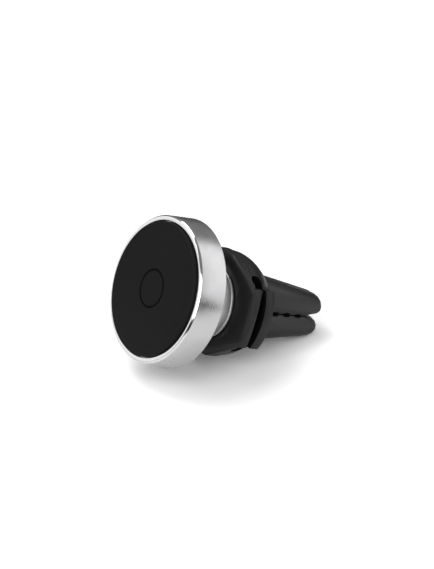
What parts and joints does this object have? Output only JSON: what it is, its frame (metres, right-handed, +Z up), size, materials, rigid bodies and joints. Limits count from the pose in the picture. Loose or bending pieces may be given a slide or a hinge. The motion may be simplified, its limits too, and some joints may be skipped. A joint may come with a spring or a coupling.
{
  "type": "magnetic vent phone mount",
  "caption": "Round magnetic phone mount on a ball joint, with a sprung prong clip that grips a car air vent blade.",
  "frame": {"origin": "the blade seat: middle of the gap between the four prongs, halfway along their grip", "axes": "+Y into the vent along the prongs, +Z up across the blade's faces, +X along the blade; the phone face looks along -Y"},
  "size_m": [0.04, 0.0551, 0.04],
  "materials": {
    "pad": "matte, fine grain",
    "film": "adhesive film",
    "ring_metal": "turned, fine circular brushing, polished edges",
    "carrier_plastic": "moulded",
    "magnet_plating": "nickel plated",
    "plate_steel": "zinc plated",
    "cover_plastic": "fine spark texture",
    "screw_steel": "blackened",
    "stud_steel": "satin nickel",
    "spring_steel": "bright",
    "liner_plastic": "natural, slightly waxy",
    "collar_metal": "satin, polished edges",
    "washer_rubber": "matte",
    "socket_plastic": "moulded",
    "body_plastic": "satin black",
    "tine_plastic": "moulded",
    "grip_rubber": "satin black, soft"
  },
  "bodies": {
    "clip": {"clip_body": "body_plastic", "socket_cup": "socket_plastic", "socket_nose": "socket_plastic", "collar_washer": "washer_rubber", "tine_hub": "tine_plastic"},
    "liner": {"ball_liner": "liner_plastic"},
    "stud": {"ball_stud": "stud_steel", "stud_clip": "spring_steel", "wave_washer": "spring_steel"},
    "head": {"front_pad": "pad", "pad_film": "film", "head_ring": "ring_metal", "magnet_carrier": "carrier_plastic", "magnets": "magnet_plating", "yoke_plate": "plate_steel", "rear_cover": "cover_plastic", "cover_screws": "screw_steel"},
    "collar": {"lock_collar": "collar_metal"},
    "prong_upper_right": {"grip_upper_right": "grip_rubber", "tine_upper_right": "tine_plastic"},
    "prong_upper_left": {"grip_upper_left": "grip_rubber", "tine_upper_left": "tine_plastic"},
    "prong_lower_right": {"grip_lower_right": "grip_rubber", "tine_lower_right": "tine_plastic"},
    "prong_lower_left": {"grip_lower_left": "grip_rubber", "tine_lower_left": "tine_plastic"}
  },
  "joints": [
    {"name": "head_pan", "type": "hinge", "parent": "clip", "child": "liner", "pos_m": [0, -0.018, 0], "axis": [0, 0, 1], "range_deg": [-18, 18]},
    {"name": "head_tilt", "type": "hinge", "parent": "liner", "child": "stud", "pos_m": [0, -0.018, 0], "axis": [-1, 0, 0], "range_deg": [-21, 15]},
    {"name": "head_spin", "type": "hinge", "parent": "stud", "child": "head", "pos_m": [0, -0.018, 0], "axis": [0, -0.9984, 0.0558], "continuous": true},
    {"name": "collar_turn", "type": "hinge", "parent": "clip", "child": "collar", "pos_m": [0, -0.018, 0], "axis": [0, -1, 0], "range_deg": [0, 180]},
    {"name": "upper_right_flex", "type": "hinge", "parent": "clip", "child": "prong_upper_right", "pos_m": [0, -0.0096, 0.0088], "axis": [1, 0, 0], "range_deg": [0, 4], "stiffness_Nm_per_rad": 0.35},
    {"name": "upper_left_flex", "type": "hinge", "parent": "clip", "child": "prong_upper_left", "pos_m": [0, -0.0096, 0.0088], "axis": [1, 0, 0], "range_deg": [0, 4], "stiffness_Nm_per_rad": 0.35},
    {"name": "lower_right_flex", "type": "hinge", "parent": "clip", "child": "prong_lower_right", "pos_m": [0, -0.0096, -0.0088], "axis": [-1, 0, 0], "range_deg": [0, 4], "stiffness_Nm_per_rad": 0.35},
    {"name": "lower_left_flex", "type": "hinge", "parent": "clip", "child": "prong_lower_left", "pos_m": [0, -0.0096, -0.0088], "axis": [-1, 0, 0], "range_deg": [0, 4], "stiffness_Nm_per_rad": 0.35}
  ]
}
